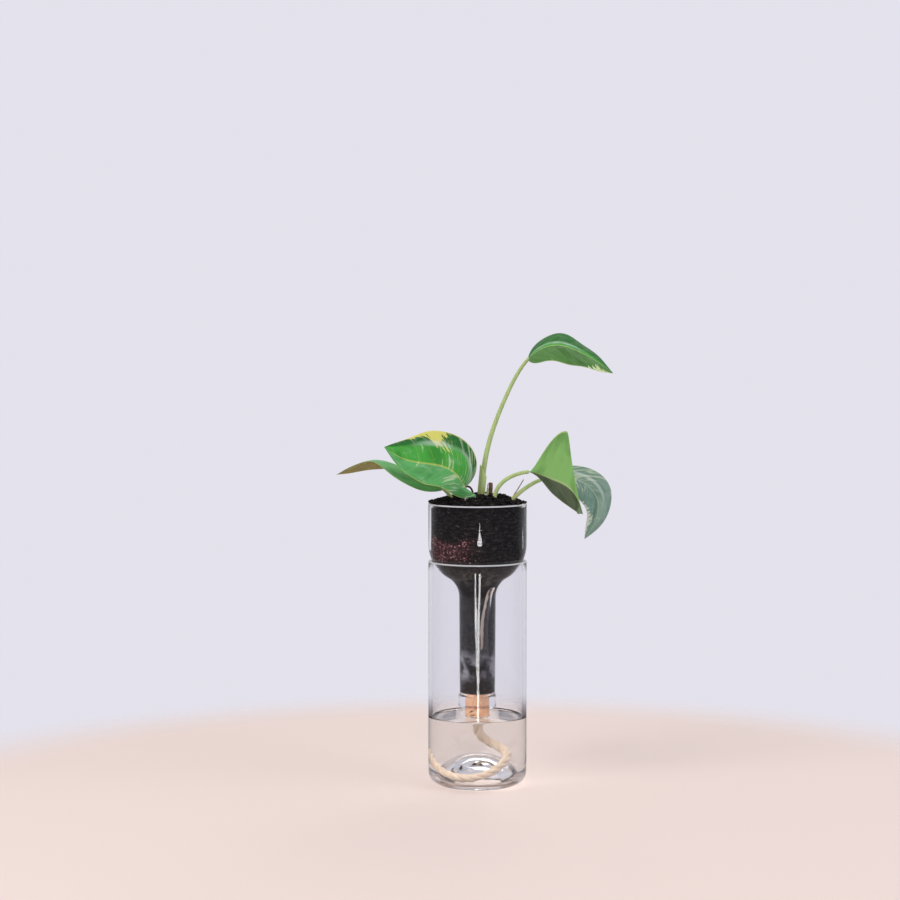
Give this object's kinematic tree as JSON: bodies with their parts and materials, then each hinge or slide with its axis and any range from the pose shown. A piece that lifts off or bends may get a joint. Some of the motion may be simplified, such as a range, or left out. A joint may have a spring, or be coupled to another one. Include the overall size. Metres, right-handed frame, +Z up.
{
  "type": "self-watering bottle planter",
  "caption": "Cut-glass-bottle planter: the upturned neck half holds soil and a trailing plant, and a cotton wick through a cork draws water up from the base half.",
  "frame": {"origin": "centre of the ring that the base stands on, on the floor plane", "axes": "+Z up along the bottle's axis, -Y towards the viewer of the picture, +X to the viewer's right"},
  "size_m": [0.2125, 0.075, 0.3452],
  "materials": {
    "clear_glass": "clear, smooth",
    "water": "clear liquid",
    "cork": "natural cork",
    "cotton": "twisted cotton cord",
    "soil": "moist, crumbly",
    "stalk": "smooth, fleshy",
    "leaf": "waxy",
    "leaf_variegated": "waxy, blotched yellow and white",
    "bark": "dry",
    "root": "dry"
  },
  "bodies": {
    "reservoir": {"reservoir": "clear_glass", "water": "water"},
    "pot": {"pot": "clear_glass", "wick_in_pot": "cotton", "wick_tail": "cotton", "soil": "soil", "stem_sheath": "stalk", "stem_stub": "bark", "bract": "stalk", "loose_root": "root", "dry_twig": "root", "petiole_top": "stalk", "leaf_top": "leaf", "petiole_right": "stalk", "leaf_right": "leaf", "petiole_far_right": "stalk", "leaf_far_right": "leaf_variegated", "petiole_left": "stalk", "leaf_left": "leaf_variegated", "petiole_lower_left": "stalk", "leaf_lower_left": "leaf"},
    "stopper": {"cork": "cork"}
  },
  "joints": [
    {"name": "pot_lift", "type": "slide", "parent": "reservoir", "child": "pot", "axis": [0, 0, 1], "range_m": [0, 0.17], "deforming": ["water"]},
    {"name": "cork_pull", "type": "slide", "parent": "pot", "child": "stopper", "axis": [0, 0, -1], "range_m": [0, 0.0105], "deforming": ["wick_tail"]}
  ]
}
